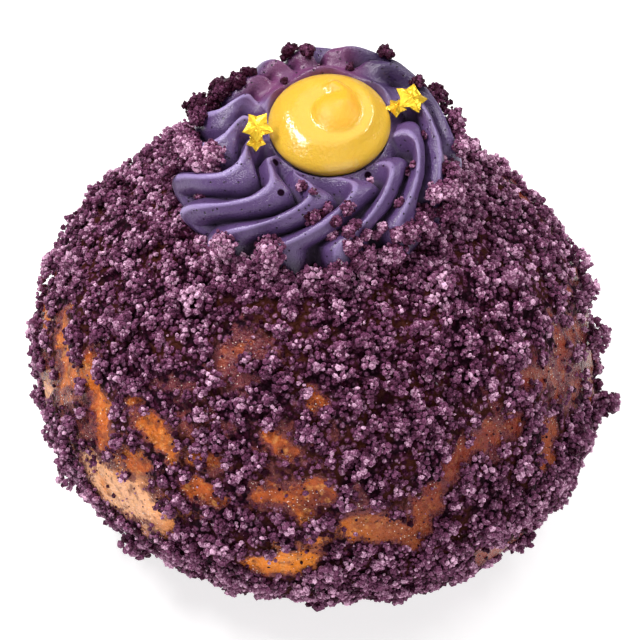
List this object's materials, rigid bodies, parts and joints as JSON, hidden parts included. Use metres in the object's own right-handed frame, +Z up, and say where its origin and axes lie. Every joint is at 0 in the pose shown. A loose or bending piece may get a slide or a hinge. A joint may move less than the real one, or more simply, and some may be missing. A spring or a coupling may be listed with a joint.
{
  "type": "filled doughnut",
  "caption": "Round filled doughnut without a hole, coated in purple cake crumbs, topped with a piped cream rosette, a custard drop and small gold foil stars.",
  "frame": {"origin": "on the flat spot under the dough that it rests on, straight below the middle of the dough's top", "axes": "+Z up through the dough's top; -Y is the front, which the picture shows; +X is the picture's right"},
  "size_m": [0.0866, 0.0871, 0.0719],
  "materials": {
    "crumb_coated_dough": "matte, moist cake crumbs over a browned glazed crust",
    "cream": "satin, smooth piped cream",
    "custard": "glossy, soft set custard",
    "gold_foil": "polished, thin foil"
  },
  "bodies": {
    "root": {"dough": "crumb_coated_dough", "rosette": "cream", "custard": "custard", "gold_star_left": "gold_foil", "gold_star_left_under": "gold_foil", "gold_star_right": "gold_foil", "gold_star_right_under": "gold_foil"}
  },
  "joints": []
}
